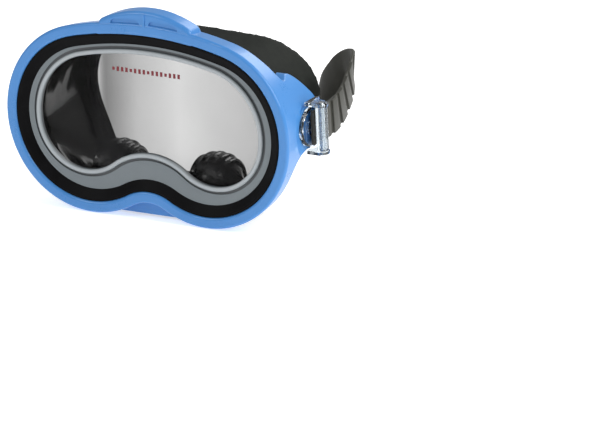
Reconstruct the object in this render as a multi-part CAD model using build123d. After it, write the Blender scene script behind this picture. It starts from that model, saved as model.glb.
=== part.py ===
from build123d import *
import math
import os

# Single-lens snorkelling mask with a swivelling head strap.
# Millimetres, +Z up. The wearer looks along -Y, +X is to the right of someone who faces the mask,
# and the mask stands on the two lobes below the eyes with the strap's middle lying on the table.

# ---- rim, all the rings follow one spectacle-shaped outline ----
rim_width = 6.3          # blue rim face, measured across the ring
lobe_x = 35.0            # centre of the round end, from the middle
lobe_r = 45.0            # seat inside the rim, round the eye
brow_r = 186.0           # seat inside the rim, over the brow
nose_r = 26.0            # seat inside the rim, under the nose arch
rim_round = 1.6          # rounded edges of the rim's front face
flank_round = 0.8
brow_depth = 12.0        # front to back over the brow
wall = 4.0
wall_taper = 0.12        # the side walls lean inwards this much per mm of depth
shelf_depth = 9.8        # rim face to the shelf that the rings sit on
shelf_thick = 2.0
shelf_reach = 8.0        # how far the shelf stands in from the seat

# ---- rings and lens ----
ring_gap = 0.15
ring_width = 5.8         # black retaining ring, measured across
ring_front = 0.8
ring_slope = 2.6         # its face falls this much towards the bezel
bezel_front = 3.6
lip_width = 2.5
lip_rise = 1.3
groove_width = 1.5
groove_depth = 0.7
lens_front = 5.2
lens_thick = 2.6
lens_lap = 4.0           # lens edge hidden under the bezel
lip_round = 1.0
temple_in = 2.8          # lens opening, upper round end: its centre inwards of the eye's
temple_margin = 10.7     # seat to the opening there
cheek_out = 4.0          # lower round end: its centre outwards of the eye's
cheek_margin = 17.6      # seat to the opening there, less cheek_out
brow_margin = 14.0
nose_margin = 11.0

# ---- crest over the brow ----
crest_half = 28.0
crest_height = 6.6       # above the rim
crest_step = 1.4         # its ends stand this much above the rim
crest_front = 0.4
recess_inner = 2.8
recess_outer = 20.2
recess_height = 5.0
crest_round = 2.0
crest_end_round = 5.0
recess_drop = 1.0        # recess centre below the rim's top
recess_tilt = 3.5
recess_depth = 0.9
keel_width = 1.4

# ---- nose web below the arch ----
web_front = 6.0
web_thick = 2.5
web_inset = 9.0          # its ends inwards of the eye's centre
web_bottom = 2.0

# ---- strap swivel ----
pivot_y = 28.0
pivot_rise = 3.6         # above the eye's centre
strap_lift = {"left": -32.0, "right": 3.0}    # rest angle of each buckle, strap end up
boss_inset = 0.34        # its face inwards of the side wall
boss_r = 12.5
boss_thick = 5.4
stud_r = 3.0
stud_fit = 0.05
stud_head_r = 4.6
stud_head_thick = 1.2
washer_r = 6.0
washer_thick = 1.3
swivel_gap = 0.3
dish_gap = 0.5           # round the buckle, where it turns in the flank

# ---- buckle ----
disc_r = 10.5
disc_chamfer = 0.8
ear_round = 1.2
plate_thick = 2.0
buckle_half = 14.2
ear_thick = 2.0
ear_r = 3.7
plate_back = 8.5
roller_r = 3.2
roller_ribs = 12
rib_depth = 0.35
axle_r = 1.2
axle_fit = 0.05

# ---- strap ----
strap_width = 18.6
strap_thick = 2.0
strap_gap = 0.35
strap_tail = 2.5         # end of the strap ahead of the swivel axis
strap_straight = 19.0    # straight length behind it
strap_back = 76.0        # depth of the strap's middle, where it lies on the table
strap_floor = 0.05

# ---- skirt ----
skirt_wall = 2.0
skirt_inset = 2.6        # its root inside the shelf's edge
seal_y = 46.0            # depth at which the seal has these sizes
seal_rise = 6.3          # temple ends of the seal above the eye's centre
seal_shrink = 8.0        # and smaller than the seat
seal_brow_r = 276.0
root_drop = 0.5          # cheek ends of the root below the eye's centre
lip_x = 30.0             # the seal's two rounded corners below the nose
lip_r = 27.0
lip_arch_r = 120.0
seal_lift = 0.3          # lowest point of the seal above the table
seal_width = 10.0
face_r = 180.0           # curve of the face that the seal lies on
brow_reach = 45.0        # rim face to the seal over the brow
well_inset = 5.5         # well centre inwards of the eye's centre
well_y = 23.0
well_z = 18.5
well_r = 14.5

lobe_z = lobe_r + rim_width
temple_x = lobe_x - temple_in
temple_r = lobe_r - temple_margin
cheek_x = lobe_x + cheek_out
cheek_r = lobe_r - cheek_margin
well_x = lobe_x - well_inset
web_half = lobe_x - web_inset
pivot_z = lobe_z + pivot_rise
boss_face = lobe_x + lobe_r + rim_width - wall_taper * pivot_y - boss_inset
chin_depth = shelf_depth + shelf_thick
pocket_out = ring_gap + ring_width
plate_in = boss_face + swivel_gap
plate_out = plate_in + plate_thick
strap_in = plate_out + strap_gap
strap_x = strap_in + strap_thick / 2
roller_x = strap_in + strap_thick + swivel_gap + roller_r
ear_in = buckle_half - ear_thick
flange_y = lens_front + lens_thick
dish_r = math.hypot(buckle_half, plate_back) + dish_gap
sides = {"left": -1, "right": 1}


def unit(a, b):
    """Direction from point a to point b in the outline's plane."""
    d = math.dist(a, b)
    return ((b[0] - a[0]) / d, (b[1] - a[1]) / d)


def on_circle(centre, direction, radius):
    return (centre[0] + direction[0] * radius, centre[1] + direction[1] * radius)


def half_way(centre, start, end, radius):
    """Middle of the arc from start to end, which turns less than half a circle."""
    middle = ((start[0] + end[0]) / 2, (start[1] + end[1]) / 2)
    return on_circle(centre, unit(centre, middle), radius)


def side_direction(upper, upper_r, lower, lower_r):
    """Direction from either centre to where the straight side touches its circle."""
    d = math.dist(upper, lower)
    if d < 0.01:
        return (1, 0)
    down = unit(upper, lower)
    cosine = min((upper_r - lower_r) / d, 1.0)
    sine = math.sqrt(1 - cosine ** 2)
    return (down[0] * cosine - down[1] * sine, down[1] * cosine + down[0] * sine)


def spectacle(y, upper, upper_r, lower, lower_r, top_r, arch_r):
    """Closed outline in the plane y: brow arc, a round temple and cheek each side, nose arch."""
    brow = (0, upper[1] - math.sqrt((top_r - upper_r) ** 2 - upper[0] ** 2))
    nose = (0, lower[1] - math.sqrt((arch_r + lower_r) ** 2 - lower[0] ** 2))
    brow_end = on_circle(upper, unit(brow, upper), upper_r)
    side = side_direction(upper, upper_r, lower, lower_r)
    temple = on_circle(upper, side, upper_r)
    cheek = on_circle(lower, side, lower_r)
    nose_start = on_circle(lower, unit(lower, nose), lower_r)
    bottom = (lower[0], lower[1] - lower_r)
    arcs = [(brow_end, half_way(upper, brow_end, temple, upper_r), temple)]
    if math.dist(temple, cheek) > 0.01:
        arcs.append((temple, cheek))
    arcs.append((cheek, half_way(lower, cheek, bottom, lower_r), bottom))
    arcs.append((bottom, half_way(lower, bottom, nose_start, lower_r), nose_start))
    mirrored = [tuple((-x, z) for x, z in reversed(arc)) for arc in reversed(arcs)]
    arch = [(nose_start, (0, nose[1] + arch_r), (-nose_start[0], nose_start[1]))]
    top = [((-brow_end[0], brow_end[1]), (0, brow[1] + top_r), brow_end)]
    edges = []
    for arc in arcs + arch + mirrored + top:
        ends = [Vector(x, y, z) for x, z in arc]
        edges.append(ThreePointArc(*ends) if len(ends) == 3 else Edge.make_line(*ends))
    return Face(Wire(edges))


def ring_outline(y, grow):
    """The seat inside the rim, grown or shrunk."""
    eye = (lobe_x, lobe_z)
    return spectacle(y, eye, lobe_r + grow, eye, lobe_r + grow, brow_r + grow, nose_r - grow)


def lens_outline(y, grow):
    """The opening in front of the lens, grown or shrunk."""
    gap = temple_r - cheek_r
    drop = math.sqrt(gap ** 2 - (cheek_x - temple_x) ** 2)
    upper = (temple_x, lobe_z)
    lower = (cheek_x, lobe_z - drop)
    top_r = brow_r - brow_margin
    arch_r = nose_r + nose_margin
    return spectacle(y, upper, temple_r + grow, lower, cheek_r + grow, top_r + grow, arch_r - grow)


def skirt_outline(y, grow):
    """The skirt at a depth y: it widens evenly from its root behind the lens to the seal."""
    share = (y - flange_y) / (seal_y - flange_y)
    inset = shelf_reach + skirt_inset
    root_r = lobe_r - inset
    root = (lobe_x, lobe_z, root_r)
    root += (lobe_x, lobe_z - root_drop, root_r - 0.2 * root_drop, brow_r - inset, nose_r + inset)
    seal = (lobe_x, lobe_z + seal_rise, lobe_r - seal_shrink)
    seal += (lip_x, lip_r + seal_lift, lip_r, seal_brow_r, lip_arch_r)
    values = [a + (b - a) * share for a, b in zip(root, seal)]
    upper, upper_r, lower, lower_r, top_r, arch_r = values[:2], values[2], values[3:5], *values[5:]
    return spectacle(y, upper, upper_r + grow, lower, lower_r + grow, top_r + grow, arch_r - grow)


def slab(outline, y0, y1, grow):
    return extrude(outline(y0, grow), y1 - y0, dir=(0, 1, 0))


def ring(outline, y0, y1, outer, inner):
    return slab(outline, y0, y1, outer) - slab(outline, y0 - 1, y1 + 1, inner)


def between(outline, y0, grow0, y1, grow1):
    """Wall or cone between two grown copies of one outline."""
    return loft([outline(y0, grow0), outline(y1, grow1)], ruled=True)


def leaning(y0, y1, grow):
    """Block whose sides lean inwards as the side walls do."""
    return between(ring_outline, y0, grow - wall_taper * y0, y1, grow - wall_taper * y1)


def x_rod(radius, x0, x1, y, z):
    return Pos((x0 + x1) / 2, y, z) * Rot(0, 90, 0) * Cylinder(radius, x1 - x0)


def side_profile():
    """Side view of the frame: rim, and a flank that narrows back to the swivel boss."""
    r = boss_r
    top = 140.0
    heel = (pivot_y + r, pivot_z)
    with BuildSketch(Plane.YZ) as sketch:
        with BuildLine():
            Polyline((-1, -10), (chin_depth, -10), (chin_depth, 22))
            Spline(
                (chin_depth, 22),
                (pivot_y - 13, pivot_z - 17.5),
                (pivot_y, pivot_z - r),
                tangents=((0, 1), (1, 0)),
            )
            ThreePointArc((pivot_y, pivot_z - r), (pivot_y + r * math.sqrt(0.5), pivot_z - r * math.sqrt(0.5)), heel)
            Spline(
                heel,
                (pivot_y + 15.5, pivot_z + 9),
                (pivot_y + 9, pivot_z + 18.5),
                (pivot_y - 5, pivot_z + 28),
                (brow_depth, pivot_z + 42),
                tangents=((0.2, 1), (-0.15, 1)),
            )
            Polyline((brow_depth, pivot_z + 42), (brow_depth, top), (-1, top), (-1, -10))
        make_face()
    return extrude(sketch.sketch, 120, both=True)


def rim_height(x):
    """Top of the rim over the brow, x from the middle."""
    centre = lobe_z - math.sqrt((brow_r - lobe_r) ** 2 - lobe_x ** 2)
    return centre + math.sqrt((brow_r + rim_width) ** 2 - x ** 2)


def crest():
    """Brow plate with two shallow recesses on either side of a keel."""
    peak = rim_height(0) + crest_height
    end = rim_height(crest_half) + crest_step
    foot = rim_height(crest_half) - rim_width
    with BuildSketch(Plane.XZ) as sketch:
        with BuildLine():
            ThreePointArc((-crest_half, end), (0, peak), (crest_half, end))
            Polyline((crest_half, end), (crest_half + 2, foot), (-crest_half - 2, foot), (-crest_half, end))
        make_face()
    plate = Pos(0, crest_front, 0) * extrude(sketch.sketch, -(brow_depth - crest_front))
    corners = plate.edges().filter_by(lambda edge: (edge @ 0.5).Z > end - 1e-3 and edge.length < brow_depth)
    plate = fillet(corners, crest_end_round)
    plate = fillet(plate.edges().filter_by(lambda edge: (edge @ 0.5).Z > peak - 1), crest_round)
    plate -= slab(ring_outline, -1, brow_depth + 1, 0)
    middle = (recess_inner + recess_outer) / 2
    length = recess_outer - recess_inner
    for side in sides.values():
        pocket = extrude(Plane.XZ * SlotOverall(length, recess_height), 2 * recess_depth)
        place = Pos(side * middle, crest_front + recess_depth, rim_height(0) - recess_drop)
        plate -= place * Rot(0, side * recess_tilt, 0) * pocket
    keel_foot = rim_height(0) - rim_width + 1
    keel = Box(keel_width, crest_front, peak - 1 - keel_foot, align=(Align.CENTER, Align.MIN, Align.MIN))
    return plate + Pos(0, 0, keel_foot) * keel


def nose_web():
    """Set-back web that closes the nose arch below the rim."""
    block = Pos(0, web_front + web_thick / 2, 0) * Box(
        2 * web_half, web_thick, 40, align=(Align.CENTER, Align.CENTER, Align.MIN)
    )
    block -= slab(ring_outline, 0, 20, 0)
    return block - Pos(0, 0, web_bottom) * Box(200, 60, 40, align=(Align.CENTER, Align.CENTER, Align.MAX))


def flank_edge(edge):
    """True for the outer cut edges of the two flanks."""
    middle = edge @ 0.5
    reach = math.dist((abs(middle.X), middle.Z), (lobe_x, lobe_z))
    outside = reach > lobe_r + rim_width - wall_taper * middle.Y - wall / 2
    behind = middle.Y > chin_depth + 0.5 and abs(middle.X) > lobe_x + lobe_r / 2
    return outside and behind and abs(middle.Z - lobe_z) > 0.2 and edge.length > 6


def frame():
    rim_back = 45.0
    body = leaning(0, rim_back, rim_width) - leaning(shelf_depth, rim_back + 1, rim_width - wall)
    body -= slab(ring_outline, -1, shelf_depth, 0)
    body += ring(ring_outline, shelf_depth, shelf_depth + shelf_thick, 1, -shelf_reach)
    body = body & side_profile()
    front = body.edges().filter_by(lambda edge: abs(edge.center().Y) < 1e-3 and edge.length > 5)
    body = fillet(front, rim_round)
    body = fillet(body.edges().filter_by(flank_edge), flank_round)
    body += crest() + nose_web()
    for side in sides.values():
        far = side * (boss_face + 20)
        body -= x_rod(dish_r, *sorted((side * boss_face, far)), pivot_y, pivot_z)
        root = side * (boss_face - boss_thick)
        body += x_rod(boss_r - 0.5, *sorted((side * boss_face, root)), pivot_y, pivot_z)
        body -= x_rod(stud_r, *sorted((side * 60, far)), pivot_y, pivot_z)
    return body


def retaining_ring():
    """Black ring pressed between the rim and the bezel; its face slopes down to the bezel."""
    body = ring(ring_outline, ring_front, shelf_depth, -ring_gap, -pocket_out)
    slope = between(ring_outline, ring_front, -ring_gap - 1, ring_front + ring_slope, -pocket_out)
    return body - slope


def bezel():
    outer = -pocket_out - ring_gap
    body = slab(ring_outline, bezel_front, lens_front + lens_thick, outer)
    lip = ring(lens_outline, bezel_front - lip_rise, bezel_front, lip_width, 0)
    body += fillet(lip.faces().sort_by(Axis.Y)[0].edges(), lip_round)
    groove = lip_width + groove_width
    body -= ring(lens_outline, bezel_front - 1, bezel_front + groove_depth, groove, lip_width)
    body -= slab(lens_outline, lens_front, 20, lens_lap + ring_gap)
    return body - slab(lens_outline, -5, 20, 0)


def lens():
    return slab(lens_outline, lens_front, lens_front + lens_thick, lens_lap)


def skirt():
    """Hollow rubber shell with a flange behind the lens, a face seal and two finger wells."""
    back = 75.0
    shell = loft([skirt_outline(flange_y, 0), skirt_outline(back, 0)], ruled=True)
    cavity = loft([skirt_outline(flange_y, -skirt_wall), skirt_outline(back, -skirt_wall)], ruled=True)
    cavity += extrude(skirt_outline(flange_y, -skirt_wall), 1, dir=(0, -1, 0))
    face = Pos(0, brow_reach + face_r, lobe_z) * Cylinder(face_r, 300)
    inner_face = Pos(0, brow_reach + face_r, lobe_z) * Cylinder(face_r + skirt_wall, 300)
    body = shell - face - (cavity - inner_face)
    lap = shelf_reach + skirt_inset + 1
    body += ring(ring_outline, flange_y, shelf_depth, -pocket_out - ring_gap, -lap)
    body -= Pos(0, brow_reach - seal_y - 5, 0) * extrude(skirt_outline(seal_y, -seal_width), 60, dir=(0, 1, 0))
    for side in sides.values():
        centre = Pos(side * well_x, well_y, well_z)
        body += (centre * Sphere(well_r)) & shell
        body -= centre * Sphere(well_r - skirt_wall)
    return body


def handed(name, shape):
    """Pieces are drawn for the right side, about the swivel axis, and mirrored for the left."""
    placed = Pos(0, pivot_y, pivot_z) * Rot(strap_lift[name], 0, 0) * shape
    return placed if name == "right" else placed.mirror(Plane.YZ)


def buckle_body(name):
    disc = x_rod(disc_r, plate_in, plate_out, 0, 0)
    disc = chamfer(disc.edges().filter_by(GeomType.CIRCLE).sort_by(Axis.X)[-1], disc_chamfer)
    plate = Pos((plate_in + plate_out) / 2, plate_back / 2, 0) * Box(plate_thick, plate_back, 2 * buckle_half)
    body = disc + plate
    ear_place = Pos(0, 0, ear_in)
    ear = Pos(roller_x, 0, 0) * Cylinder(ear_r, ear_thick, align=(Align.CENTER, Align.CENTER, Align.MIN))
    ear = fillet(ear.edges().filter_by(GeomType.CIRCLE).sort_by(Axis.Z)[-1], ear_round)
    arm = Box(roller_x - plate_in, 2 * ear_r, ear_thick, align=(Align.MIN, Align.CENTER, Align.MIN))
    foot = Box(plate_thick, plate_back + ear_r, ear_thick, align=(Align.MIN, Align.MIN, Align.MIN))
    ears = ear + Pos(plate_in, 0, 0) * arm + Pos(plate_in, -ear_r, 0) * foot
    body += ear_place * ears
    body += (ear_place * ears).mirror(Plane.XY)
    body -= Pos(roller_x, 0, 0) * Cylinder(axle_r, 3 * buckle_half)
    body -= x_rod(stud_r + stud_fit, plate_in - 1, plate_out + 1, 0, 0)
    body -= x_rod(stud_head_r + stud_fit, plate_out - stud_head_thick, plate_out + 1, 0, 0)
    return handed(name, body)


def pivot_stud(name):
    inner = boss_face - boss_thick - washer_thick
    stud = x_rod(stud_r, inner, plate_out, 0, 0)
    stud += x_rod(stud_head_r, plate_out - stud_head_thick + stud_fit, plate_out, 0, 0)
    return handed(name, stud)


def stud_washer(name):
    outer = boss_face - boss_thick
    washer = x_rod(washer_r, outer - washer_thick, outer, 0, 0)
    washer -= x_rod(stud_r, outer - 5, outer + 5, 0, 0)
    return handed(name, washer)


def roller(name):
    length = 2 * (ear_in - swivel_gap)
    body = Cylinder(roller_r, length)
    for number in range(roller_ribs):
        turn = 360.0 * number / roller_ribs
        body -= Rot(0, 0, turn) * Pos(roller_r + 0.25, 0, 0) * Cylinder(0.25 + rib_depth, length + 1)
    body -= Cylinder(axle_r + axle_fit, length + 1)
    return handed(name, Pos(roller_x, 0, 0) * body)


def roller_axle(name):
    return handed(name, Pos(roller_x, 0, 0) * Cylinder(axle_r, 2 * buckle_half))


def strap_end(name):
    """The strap's straight end in a buckle: two points and the direction across the band."""
    side = sides[name]
    lift = math.radians(strap_lift[name])
    back = Vector(0, math.cos(lift), math.sin(lift))
    across = Vector(0, -math.sin(lift), math.cos(lift))
    pivot = Vector(side * strap_x, pivot_y, pivot_z)
    return [(pivot - back * strap_tail, across), (pivot + back * strap_straight, across)]


def strap():
    """Band from buckle to buckle: it leaves on edge, turns inwards, twists and lies flat behind."""
    lying = strap_thick / 2 + strap_floor
    flat = Vector(0, 1, 0)
    right = [
        (1.2, 58.0, pivot_z + 3.5, Vector(0, 0, 1)),
        (3.0, 68.0, pivot_z + 8.1, Vector(0, 0, 1)),
        (5.3, 77.0, pivot_z + 13.5, Vector(0, 0, 1)),
        (9.0, 84.5, pivot_z + 17.5, Vector(0, 0.1, 1)),
        (14.5, 88.0, pivot_z + 16.0, Vector(0, 0.2, 1)),
        (21.0, 89.0, pivot_z + 10.5, Vector(0, 0.3, 1)),
        (29.0, 90.0, pivot_z + 1.5, Vector(0.1, 0.4, 1)),
        (37.5, 91.5, 44.0, Vector(0.2, 0.6, 0.8)),
        (46.0, 90.5, 28.5, Vector(0.2, 0.9, 0.5)),
        (55.0, 86.0, 13.0, Vector(0, 1, 0.25)),
        (66.2, strap_back + 3.5, lying + 1.5, flat),
        (78.2, strap_back, lying, flat),
    ]
    left = [
        (60.3, strap_back, lying, flat),
        (42.3, strap_back, lying, flat),
        (26.3, strap_back, lying + 1.5, flat),
        (13.3, strap_back - 2.5, lying + 8.0, Vector(-0.15, 1, 0.35)),
        (4.3, strap_back - 10.0, 24.0, Vector(-0.1, 0.8, 0.6)),
    ]
    route = strap_end("right")
    route += [(Vector(strap_x - inset, y, z), across) for inset, y, z, across in right]
    route += [(Vector(inset - strap_x, y, z), across) for inset, y, z, across in left]
    route += list(reversed(strap_end("left")))
    sections = []
    for number, (point, across) in enumerate(route):
        before = route[max(number - 1, 0)][0]
        after = route[min(number + 1, len(route) - 1)][0]
        along = (after - before).normalized()
        across = (across - along * across.dot(along)).normalized()
        plane = Plane(origin=point, x_dir=across, z_dir=along)
        sections.append(plane * Rectangle(strap_width, strap_thick))
    return loft(sections, ruled=True)


def write(name, shape):
    """The origin lies midway between the rim's front face and the deepest point of the strap."""
    placed = Pos(0, -overall_depth / 2, 0) * shape
    export_step(placed, "parts/" + name + ".step")


os.makedirs("parts", exist_ok=True)
band = strap()
overall_depth = band.bounding_box().max.Y
write("frame", frame())
write("retaining_ring", retaining_ring())
write("lens_bezel", bezel())
write("lens", lens())
write("skirt", skirt())
write("strap", band)
for name in sides:
    write(name + "_buckle", buckle_body(name))
    write(name + "_pivot_stud", pivot_stud(name))
    write(name + "_stud_washer", stud_washer(name))
    write(name + "_roller", roller(name))
    write(name + "_roller_axle", roller_axle(name))
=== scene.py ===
import math

import bmesh
import bpy
from mathutils import Matrix, Vector


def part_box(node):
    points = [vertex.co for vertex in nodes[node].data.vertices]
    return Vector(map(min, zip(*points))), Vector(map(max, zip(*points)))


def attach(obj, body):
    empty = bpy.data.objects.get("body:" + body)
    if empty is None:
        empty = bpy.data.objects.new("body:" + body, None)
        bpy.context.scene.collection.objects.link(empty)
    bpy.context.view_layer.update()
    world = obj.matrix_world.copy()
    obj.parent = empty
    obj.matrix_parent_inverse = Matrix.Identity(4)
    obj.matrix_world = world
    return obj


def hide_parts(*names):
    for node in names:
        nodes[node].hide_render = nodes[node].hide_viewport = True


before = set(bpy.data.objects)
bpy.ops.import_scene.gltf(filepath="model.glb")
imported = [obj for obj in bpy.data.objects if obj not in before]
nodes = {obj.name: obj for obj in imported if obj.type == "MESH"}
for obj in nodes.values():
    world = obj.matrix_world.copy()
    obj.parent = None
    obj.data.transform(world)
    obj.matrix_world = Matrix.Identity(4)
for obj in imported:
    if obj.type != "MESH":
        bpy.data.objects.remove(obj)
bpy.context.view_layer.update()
bpy.ops.object.select_all(action="DESELECT")
mm = 0.001

# ---- camera ----
# It stands 30 degrees to the side of the mask and a little above it, far off on a long lens, so
# that the rings keep their shapes. The mask is in the upper left of its frame.
scene = bpy.context.scene
scene.view_settings.view_transform = "Standard"
side_angle = math.radians(30)
rise_angle = math.radians(16.5)
roll_angle = math.radians(-1.1)
shot_distance = 4.0
shot_width = 0.3158
shot_across = 80.2 * mm
shot_below = 6.1 * mm
sensor_width = 36.0
far_clip = 50.0
across = Vector((math.cos(side_angle), math.sin(side_angle), 0))
towards = Vector((math.sin(side_angle), -math.cos(side_angle), 0))
towards = towards * math.cos(rise_angle) + Vector((0, 0, math.sin(rise_angle)))
upwards = towards.cross(across)
shot_right = across * math.cos(roll_angle) + upwards * math.sin(roll_angle)
shot_up = upwards * math.cos(roll_angle) - across * math.sin(roll_angle)
rim_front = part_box("frame")[0].y
aim = Vector((0, rim_front, 6.3 * mm)) + shot_right * shot_across - shot_up * shot_below
camera_data = bpy.data.cameras.new("camera")
camera_data.sensor_width = sensor_width
camera_data.lens = sensor_width * shot_distance / shot_width
camera_data.clip_end = far_clip
camera = bpy.data.objects.new("camera", camera_data)
scene.collection.objects.link(camera)
facing = Matrix((shot_right, shot_up, towards)).transposed().to_4x4()
camera.matrix_world = Matrix.Translation(aim + towards * shot_distance) @ facing
scene.camera = camera

# ---- light ----
# An even white room, a soft box high on the right, and two weaker ones on the front left and
# behind. The one behind puts the bright edges on the finger wells.
room_strength = 0.42
mask_middle = Vector((0, 0, 50 * mm))
world = bpy.data.worlds.new("white_room")
world.use_nodes = True
world.node_tree.nodes["Background"].inputs["Color"].default_value = (1, 1, 1, 1)
world.node_tree.nodes["Background"].inputs["Strength"].default_value = room_strength
scene.world = world
soft_boxes = {
    "key_box": ((0.75, -0.05, 0.65), 0.6, 7.0),
    "fill_box": ((-0.7, -0.9, 0.9), 0.5, 4.0),
    "back_box": ((0.1, 0.9, 0.7), 0.6, 4.0),
}
for name, (place, width, watts) in soft_boxes.items():
    box_data = bpy.data.lights.new(name, "AREA")
    box_data.size = width
    box_data.energy = watts
    soft_box = bpy.data.objects.new(name, box_data)
    scene.collection.objects.link(soft_box)
    soft_box.location = place
    soft_box.rotation_euler = (mask_middle - Vector(place)).to_track_quat("-Z", "Y").to_euler()


# ---- blue frame ----
# One moulding of glossy opaque plastic: rim, flanks, crest and nose web. The clear studs are
# pressed through its two side bosses and held inside by blue washers.
class Strand:
    """A shader socket that Python's own arithmetic works on."""

    def __init__(self, tree, socket):
        self.tree = tree
        self.socket = socket

    def node(self, kind, settings, values, output=0):
        """Adds a node: its settings first, then the numbers or links of its inputs."""
        node = self.tree.nodes.new(kind)
        stops = settings.pop("stops", [])
        for setting, value in settings.items():
            setattr(node, setting, value)
        for number, (position, colour) in enumerate(stops):
            if number > 1:
                node.color_ramp.elements.new(position)
            node.color_ramp.elements[number].position = position
            node.color_ramp.elements[number].color = colour
        for key, value in values.items():
            if isinstance(value, Strand):
                self.tree.links.new(value.socket, node.inputs[key])
            else:
                node.inputs[key].default_value = value
        return Strand(self.tree, node.outputs[output])

    def maths(self, operation, first, second):
        return self.node("ShaderNodeMath", {"operation": operation}, {0: first, 1: second})

    def __add__(self, other):
        return self.maths("ADD", self, other)

    def __sub__(self, other):
        return self.maths("SUBTRACT", self, other)

    def __rsub__(self, other):
        return self.maths("SUBTRACT", other, self)

    def __mul__(self, other):
        return self.maths("MULTIPLY", self, other)

    __radd__ = __add__
    __rmul__ = __mul__

    def noise(self, grain, detail=3.0):
        """Noise from 0 to 1 on these coordinates, about grain metres from blotch to blotch."""
        return self.node("ShaderNodeTexNoise", {}, {"Vector": self, "Scale": 1 / grain, "Detail": detail})

    def blend(self, low, high):
        """Colour from low to high as this number goes from 0 to 1."""
        values = {0: self, 6: low + (1,), 7: high + (1,)}
        return self.node("ShaderNodeMix", {"data_type": "RGBA"}, values, output=2)

    def times(self, other):
        """This colour multiplied by another."""
        settings = {"data_type": "RGBA", "blend_type": "MULTIPLY"}
        return self.node("ShaderNodeMix", settings, {0: 1.0, 6: self, 7: other}, output=2)

    def ramp(self, *stops):
        """Colour between stops, each a position from 0 to 1 and the colour there."""
        stops = [(position, colour + (1,)) for position, colour in stops]
        return self.node("ShaderNodeValToRGB", {"stops": stops}, {"Fac": self})

    def steepen(self, low, high):
        """This number stretched so that low becomes 0 and high becomes 1."""
        values = {"Value": self, "From Min": low, "From Max": high}
        return self.node("ShaderNodeMapRange", {"clamp": True}, values)

    def relief(self, height):
        """Normal of a surface that stands height metres proud where this number is 1."""
        return self.node("ShaderNodeBump", {}, {"Height": self, "Distance": height, "Strength": 1.0})

    def into(self, key):
        """Leads this socket to an input of the material's shader."""
        self.tree.links.new(self.socket, self.tree.nodes["Principled BSDF"].inputs[key])


def new_finish(name, **constants):
    """A material and its Object coordinates; what is the same all over goes on the shader itself."""
    material = bpy.data.materials.new(name)
    material.use_nodes = True
    shader = material.node_tree.nodes["Principled BSDF"]
    for key, value in constants.items():
        shader.inputs[key.replace("_", " ")].default_value = value
    place = material.node_tree.nodes.new("ShaderNodeTexCoord")
    return material, Strand(material.node_tree, place.outputs["Object"])


def dress(piece, *materials):
    """Gives a piece these materials in place of those it came with."""
    piece.data.materials.clear()
    for material in materials:
        piece.data.materials.append(material)


blue, place = new_finish("frame_blue", IOR=1.5, Specular_IOR_Level=0.4, Coat_Roughness=0.08)
flow = place.noise(14 * mm)
pores = place.noise(0.5 * mm, 2.0)
flow.blend((0.050, 0.212, 0.530), (0.060, 0.236, 0.575)).into("Base Color")
(flow * 0.08 + pores * 0.06 + 0.22).into("Roughness")
(flow * 0.12 + 0.04).into("Coat Weight")
pores.relief(0.012 * mm).into("Normal")
dress(nodes["frame"], blue)
for side in ("left", "right"):
    dress(nodes[side + "_stud_washer"], blue)

# ---- black retaining ring ----
# A ring of satin black plastic. It is pressed into the rim and holds the bezel, lens and skirt
# on the shelf inside it, and its face slopes inwards.
ring_black, place = new_finish("ring_black", IOR=1.4, Specular_IOR_Level=0.05)
bloom = place.noise(9 * mm)
grain = place.noise(0.35 * mm, 2.0)
bloom.blend((0.003, 0.003, 0.003), (0.008, 0.008, 0.009)).into("Base Color")
(bloom * 0.12 + grain * 0.1 + 0.3).into("Roughness")
grain.relief(0.015 * mm).into("Normal")
dress(nodes["retaining_ring"], ring_black)

# ---- grey bezel ----
# A flat ring of satin grey plastic with a rounded lip round the lens and a groove outside the
# lip. It is clamped on the lens by the black ring. Its colour darkens with depth: a painted
# highlight on the lip, its own grey on the flat, and painted shade in the groove and down the
# inner wall of the opening.
bezel_grey, place = new_finish("bezel_grey", IOR=1.48)
bloom = place.noise(11 * mm)
grain = place.noise(0.4 * mm, 2.0)
depth = place.node("ShaderNodeSeparateXYZ", {}, {"Vector": place}, output=1)
lip_top = rim_front + 2.3 * mm
groove_floor = rim_front + 4.4 * mm
# Painted light by depth: painted highlight on the lip, plain grey on the flat, painted shade in the
# groove and on the opening's wall.
grey_and_painted_light = depth.steepen(lip_top, groove_floor).ramp(
    (0.0, (0.36, 0.39, 0.41)),
    (0.42, (0.24, 0.27, 0.285)),
    (0.58, (0.16, 0.185, 0.20)),
    (0.66, (0.15, 0.175, 0.19)),
    (0.82, (0.075, 0.083, 0.09)),
)
grey_and_painted_light.times(bloom.blend((0.92, 0.92, 0.92), (1.06, 1.06, 1.06))).into("Base Color")
(bloom * 0.1 + grain * 0.1 + 0.3).into("Roughness")
grain.relief(0.02 * mm).into("Normal")
dress(nodes["lens_bezel"], bezel_grey)

# ---- lens ----
# One flat clear window, clamped between the bezel and the skirt's flange. It greys what is
# behind it, least at the temple on the left and most just inwards of that. The grey is partly
# the lens's own tint; its uneven spread across the lens is painted shade.
lens_clear, place = new_finish("lens_clear", IOR=1.5, Roughness=0.03, Specular_IOR_Level=0.12)
lens_low, lens_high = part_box("lens")
axes = place.node("ShaderNodeSeparateXYZ", {}, {"Vector": place})
span = axes.steepen(lens_low.x, lens_high.x)
haze = place.noise(25 * mm, 1.0)
# Painted shade: how much the lens darkens what is behind it, from left to right across it.
tint_and_painted_shade = span.ramp(
    (0.0, (0.12, 0.12, 0.12)),
    (0.24, (0.2, 0.2, 0.2)),
    (0.30, (0.62, 0.62, 0.62)),
    (0.44, (0.42, 0.42, 0.42)),
    (0.62, (0.33, 0.33, 0.33)),
    (1.0, (0.45, 0.45, 0.45)),
)
(tint_and_painted_shade + haze * 0.04 - 0.02).into("Alpha")
haze.blend((0.004, 0.004, 0.004), (0.010, 0.010, 0.011)).into("Base Color")
dress(nodes["lens"], lens_clear)

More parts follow.
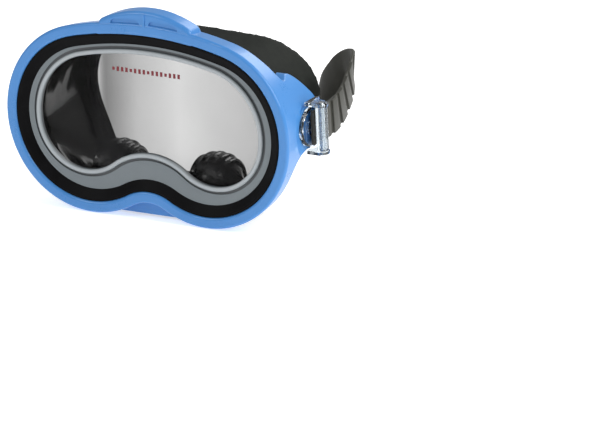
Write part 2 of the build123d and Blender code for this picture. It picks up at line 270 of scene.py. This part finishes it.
# ---- skirt ----
# A hollow black rubber moulding, matt outside and shiny inside, with a flange behind the lens,
# a seal for the face and two finger wells whose domes are ribbed for grip.
skirt_matt, place = new_finish("skirt_matt", IOR=1.5, Specular_IOR_Level=0.15)
powder = place.noise(6 * mm)
grain = place.noise(0.6 * mm, 2.0)
powder.blend((0.004, 0.005, 0.004), (0.020, 0.023, 0.019)).into("Base Color")
(powder * 0.15 + grain * 0.1 + 0.5).into("Roughness")
grain.relief(0.015 * mm).into("Normal")
skirt_shiny, place = new_finish("skirt_shiny", IOR=1.42, Specular_IOR_Level=0.32)
wave = place.noise(18 * mm, 1.0)
grain = place.noise(0.8 * mm, 2.0)
wave.blend((0.003, 0.003, 0.003), (0.008, 0.008, 0.007)).into("Base Color")
(wave * 0.08 + grain * 0.06 + 0.1).into("Roughness")
wave.relief(2.0 * mm).into("Normal")
skirt_ribs, place = new_finish("skirt_ribs", IOR=1.6, Specular_IOR_Level=0.9)
grain = place.noise(0.8 * mm, 2.0)
grain.blend((0.004, 0.004, 0.004), (0.010, 0.010, 0.009)).into("Base Color")
(grain * 0.08 + 0.14).into("Roughness")
grain.relief(0.012 * mm).into("Normal")

well_x = 29.5 * mm
well_y = 23.0 * mm
well_z = 18.5 * mm
well_r = 14.5 * mm
rib_pitch = 4.4 * mm
rib_r = 1.9 * mm
rib_proud = 0.9 * mm
rib_offsets = (-2, -1, 0, 1, 2)
rib_foot = 14 * mm
rib_front = 11 * mm
skirt_grid = 0.88 * mm


def merged_copy(node, name):
    """A piece with a mesh of its own, made from a CAD node's loose triangles."""
    piece = nodes[node].copy()
    piece.data = nodes[node].data.copy()
    piece.name = name
    piece.parent = None
    for key in list(piece.keys()):
        del piece[key]
    scene.collection.objects.link(piece)
    bpy.ops.object.select_all(action="DESELECT")
    bpy.context.view_layer.objects.active = piece
    piece.select_set(True)
    bpy.ops.object.mode_set(mode="EDIT")
    bpy.ops.mesh.select_all(action="SELECT")
    bpy.ops.mesh.remove_doubles(threshold=0.001 * mm)
    bpy.ops.mesh.normals_make_consistent(inside=False)
    bpy.ops.object.mode_set(mode="OBJECT")
    return piece


def apply_modifier(piece, kind, **settings):
    """Adds a modifier with these settings and applies it."""
    bpy.context.view_layer.objects.active = piece
    modifier = piece.modifiers.new(kind.lower(), kind)
    for setting, value in settings.items():
        setattr(modifier, setting, value)
    bpy.ops.object.modifier_apply(modifier=modifier.name)


skirt = merged_copy("skirt", "skirt_rubber")
parts = [skirt]
for side in (-1, 1):
    for offset in rib_offsets:
        shift = offset * rib_pitch
        bpy.ops.mesh.primitive_torus_add(
            major_segments=64,
            minor_segments=12,
            major_radius=math.sqrt((well_r + rib_proud) ** 2 - shift ** 2),
            minor_radius=rib_r,
            location=(side * well_x + shift, rim_front + well_y, well_z),
            rotation=(0, math.radians(90), 0),
        )
        parts.append(bpy.context.active_object)
for rib in parts[1:]:
    bpy.ops.object.select_all(action="DESELECT")
    bpy.context.view_layer.objects.active = rib
    rib.select_set(True)
    bpy.ops.object.transform_apply(location=True, rotation=True, scale=True)
    bpy.ops.object.mode_set(mode="EDIT")
    for cut, keep in (((0, 0, 1), rib_foot), ((0, 1, 0), rim_front + rib_front)):
        bpy.ops.mesh.select_all(action="SELECT")
        plane = tuple(keep * component for component in cut)
        bpy.ops.mesh.bisect(plane_co=plane, plane_no=cut, clear_inner=True, use_fill=True)
    bpy.ops.object.mode_set(mode="OBJECT")
bpy.ops.object.select_all(action="DESELECT")
for part in parts:
    part.select_set(True)
bpy.context.view_layer.objects.active = skirt
bpy.ops.object.join()
apply_modifier(skirt, "REMESH", mode="VOXEL", voxel_size=skirt_grid, use_smooth_shade=True)
apply_modifier(skirt, "SMOOTH", factor=0.5, iterations=1)


def well_distance(point):
    """How far a point is from the centre of the nearer finger well."""
    return (point - Vector((math.copysign(well_x, point.x), rim_front + well_y, well_z))).length


# Away from the ribs the shell is smoothed more.
plain = skirt.vertex_groups.new(name="plain")
away = [v.index for v in skirt.data.vertices if well_distance(v.co) > well_r + 4 * mm]
plain.add(away, 1.0, "REPLACE")
apply_modifier(skirt, "SMOOTH", factor=0.5, iterations=20, vertex_group="plain")
dress(skirt, skirt_matt, skirt_shiny, skirt_ribs)
heart = Vector((0, rim_front + 30 * mm, 52 * mm))
ribs_above = 12 * mm
inward_share = 0.1
for face in skirt.data.polygons:
    face.use_smooth = True
    on_well = well_r - 1 * mm < well_distance(face.center) < well_r + 3 * mm
    if on_well and face.center.z > ribs_above:
        face.material_index = 2
    elif (heart - face.center).normalized().dot(face.normal) > inward_share:
        face.material_index = 1
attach(skirt, "mask_body")
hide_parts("skirt")

# ---- strap ----
# A moulded rubber band with raised blocks across its outer face near both buckles, which the
# buckle's roller grips. It leaves each buckle on edge, twists and lies flat on the table behind.
strap_black, place = new_finish("strap_black", IOR=1.5, Specular_IOR_Level=0.3)
bloom = place.noise(8 * mm)
grain = place.noise(0.5 * mm, 2.0)
bloom.blend((0.030, 0.030, 0.024), (0.052, 0.052, 0.044)).into("Base Color")
(bloom * 0.12 + grain * 0.1 + 0.36).into("Roughness")
grain.relief(0.03 * mm).into("Normal")

strap_width = 18.6 * mm
strap_thick = 2.0 * mm
block_pitch = 10 * mm
groove_length = 3.2 * mm
groove_depth = 1.0 * mm
first_groove = 18 * mm
ribbed_length = 75 * mm
cut_spacing = 2 * mm
least_spacing = 0.7 * mm
edge_round = 0.35 * mm
pivot_y = 28 * mm
pivot_z = 54.9 * mm
strap_x = 86.25 * mm
lying = 1.05 * mm
strap_lift = {-1: math.radians(-32), 1: math.radians(3)}
tail, straight = 2.5 * mm, 19 * mm


def buckle_end(side):
    """The band's straight end in a buckle: two points and the direction across the band."""
    lift = strap_lift[side]
    along = Vector((0, math.cos(lift), math.sin(lift)))
    width_way = Vector((0, -math.sin(lift), math.cos(lift)))
    pivot = Vector((side * strap_x, pivot_y, pivot_z))
    return [(pivot - along * tail, width_way), (pivot + along * straight, width_way)]


right_run = [
    (1.2, 58.0, 58.4, (0, 0, 1)),
    (3.0, 68.0, 63.0, (0, 0, 1)),
    (5.3, 77.0, 68.4, (0, 0, 1)),
    (9.0, 84.5, 72.4, (0, 0.1, 1)),
    (14.5, 88.0, 70.9, (0, 0.2, 1)),
    (21.0, 89.0, 65.4, (0, 0.3, 1)),
    (29.0, 90.0, 56.4, (0.1, 0.4, 1)),
    (37.5, 91.5, 44.0, (0.2, 0.6, 0.8)),
    (46.0, 90.5, 28.5, (0.2, 0.9, 0.5)),
    (55.0, 86.0, 13.0, (0, 1, 0.25)),
    (66.2, 79.5, 2.55, (0, 1, 0)),
    (78.2, 76.0, 1.05, (0, 1, 0)),
]
left_run = [
    (60.3, 76.0, 1.05, (0, 1, 0)),
    (42.3, 76.0, 1.05, (0, 1, 0)),
    (26.3, 76.0, 2.55, (0, 1, 0)),
    (13.3, 73.5, 9.05, (-0.15, 1, 0.35)),
    (4.3, 66.0, 24.0, (-0.1, 0.8, 0.6)),
]
route = buckle_end(1)
route += [(Vector((strap_x - x * mm, y * mm, z * mm)), Vector(way)) for x, y, z, way in right_run]
route += [(Vector((x * mm - strap_x, y * mm, z * mm)), Vector(way)) for x, y, z, way in left_run]
route += list(reversed(buckle_end(-1)))
points = [point + Vector((0, rim_front, 0)) for point, way in route]
ways = [way.normalized() for point, way in route]
stations = [0.0]
for first, second in zip(points, points[1:]):
    stations.append(stations[-1] + (second - first).length)
band_length = stations[-1]


def on_route(values, distance):
    """A smooth value at a distance along the band, from the values at its stations."""
    number = 0
    while number < len(stations) - 2 and stations[number + 1] < distance:
        number += 1
    start, end = stations[number], stations[number + 1]
    share = (distance - start) / (end - start)
    slopes = []
    for at in (number, number + 1):
        low, high = max(at - 1, 0), min(at + 1, len(values) - 1)
        slopes.append((values[high] - values[low]) / (stations[high] - stations[low]) * (end - start))
    square, cube = share ** 2, share ** 3
    return (
        values[number] * (2 * cube - 3 * square + 1)
        + slopes[0] * (cube - 2 * square + share)
        + values[number + 1] * (3 * square - 2 * cube)
        + slopes[1] * (cube - square)
    )


# The band is first a thin bar along X, cut across at every block edge; the blocks are raised on it.
bar_thick = strap_thick - groove_depth
bpy.ops.object.select_all(action="DESELECT")
bpy.ops.mesh.primitive_cube_add(size=1, location=(band_length / 2, 0, (bar_thick - strap_thick) / 2))
strap = bpy.context.active_object
strap.name = "strap_band"
strap.scale = (band_length, strap_width, bar_thick)
bpy.ops.object.transform_apply(location=True, rotation=True, scale=True)
grooves = []
reach = first_groove
while reach < ribbed_length:
    grooves.append((reach, reach + groove_length))
    grooves.append((band_length - reach - groove_length, band_length - reach))
    reach += block_pitch
edges = [edge for groove in grooves for edge in groove]
cuts = [number * cut_spacing for number in range(1, int(band_length / cut_spacing))]
cuts = [cut for cut in cuts if all(abs(cut - edge) > least_spacing for edge in edges)] + edges
bpy.ops.object.mode_set(mode="EDIT")
for cut in sorted(cuts):
    bpy.ops.mesh.select_all(action="SELECT")
    bpy.ops.mesh.bisect(plane_co=(cut, 0, 0), plane_no=(1, 0, 0))
bpy.ops.mesh.select_all(action="DESELECT")
shape = bmesh.from_edit_mesh(strap.data)
for face in shape.faces:
    middle = face.calc_center_median()
    in_groove = any(start < middle.x < end for start, end in grooves)
    face.select_set(face.normal.z > 0.9 and not in_groove)
bmesh.update_edit_mesh(strap.data)
bpy.ops.mesh.extrude_region_move(TRANSFORM_OT_translate={"value": (0, 0, groove_depth)})
bpy.ops.mesh.select_all(action="SELECT")
bpy.ops.mesh.normals_make_consistent(inside=False)
bpy.ops.object.mode_set(mode="OBJECT")
sharp = math.radians(60)
apply_modifier(strap, "BEVEL", width=edge_round, segments=2, limit_method="ANGLE", angle_limit=sharp)
# Then the bar is laid along its route, no lower than the table lets it.
for vertex in strap.data.vertices:
    distance, sideways, proud = vertex.co
    along = on_route(points, min(distance + mm, band_length)) - on_route(points, max(distance - mm, 0))
    along.normalize()
    middle = on_route(points, distance)
    middle.z = max(middle.z, lying)
    way = on_route(ways, distance)
    way = (way - along * way.dot(along)).normalized()
    vertex.co = middle + way * sideways + along.cross(way) * proud
bpy.ops.object.shade_smooth_by_angle(angle=math.radians(35))
dress(strap, strap_black)
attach(strap, "left_buckle_body")
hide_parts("strap")

# ---- buckles, studs and rollers ----
# Clear glossy mouldings: each buckle turns on a stud pressed through the frame, and its ribbed
# roller pinches the strap. A thin steel pin carries the roller.
clear, place = new_finish("buckle_clear", IOR=1.49, Transmission_Weight=1.0)
swirl = place.noise(5 * mm)
swirl.blend((0.66, 0.74, 0.79), (0.80, 0.87, 0.92)).into("Base Color")
(swirl * 0.06 + 0.02).into("Roughness")
swirl.relief(0.05 * mm).into("Normal")
pin_steel, place = new_finish("pin_steel", Metallic=1.0)
brushed = place.noise(0.6 * mm)
brushed.blend((0.50, 0.51, 0.52), (0.66, 0.67, 0.68)).into("Base Color")
(brushed * 0.15 + 0.2).into("Roughness")
for side in ("left", "right"):
    dress(nodes[side + "_buckle"], clear)
    dress(nodes[side + "_pivot_stud"], clear)
    dress(nodes[side + "_roller"], clear)
    dress(nodes[side + "_roller_axle"], pin_steel)

# ---- marks printed on the lens ----
# A plain row of dark red bars, printed on the front of the lens below its upper edge. Every
# fourth bar is a short one.
ink_red, place = new_finish("ink_red", IOR=1.45)
speck = place.noise(0.3 * mm)
speck.blend((0.13, 0.008, 0.012), (0.22, 0.02, 0.03)).into("Base Color")
(speck * 0.2 + 0.4).into("Roughness")
bar_count = 16
bar_pitch = 2.65 * mm
bar_sizes = (1.5 * mm, 2.5 * mm, 0.05 * mm)
first_bar = -21.9 * mm
short_bar = 0.7
bars_at = 79.5 * mm
bars = []
for number in range(bar_count):
    bpy.ops.object.select_all(action="DESELECT")
    tall = bar_sizes[1] * (1.0 if number % 4 else short_bar)
    place_at = (first_bar + number * bar_pitch, lens_low.y - bar_sizes[2] / 2, bars_at)
    bpy.ops.mesh.primitive_cube_add(size=1, location=place_at)
    bar = bpy.context.active_object
    bar.scale = (bar_sizes[0], bar_sizes[2], tall)
    bpy.ops.object.transform_apply(location=True, rotation=True, scale=True)
    bpy.ops.object.mode_set(mode="EDIT")
    bpy.ops.mesh.bevel(offset=0.02 * mm, segments=1)
    bpy.ops.object.mode_set(mode="OBJECT")
    bars.append(bar)
for bar in bars:
    bar.select_set(True)
bpy.context.view_layer.objects.active = bars[0]
bpy.ops.object.join()
marks = bars[0]
marks.name = "lens_marks"
dress(marks, ink_red)
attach(marks, "mask_body")

# ---- table ----
# A plain sheet of white card under the mask. It glows a little, so that it stays white where
# the lights fade.
table_width = 12
sheet_white, place = new_finish("sheet_white", Emission_Color=(1, 1, 1, 1), Emission_Strength=0.6)
fibre = place.noise(40 * mm)
fibre.blend((0.86, 0.86, 0.86), (0.9, 0.9, 0.9)).into("Base Color")
(fibre * 0.05 + 0.6).into("Roughness")
bpy.ops.object.select_all(action="DESELECT")
bpy.ops.mesh.primitive_plane_add(size=table_width, location=(0, 0, 0))
table = bpy.context.active_object
table.name = "table"
dress(table, sheet_white)
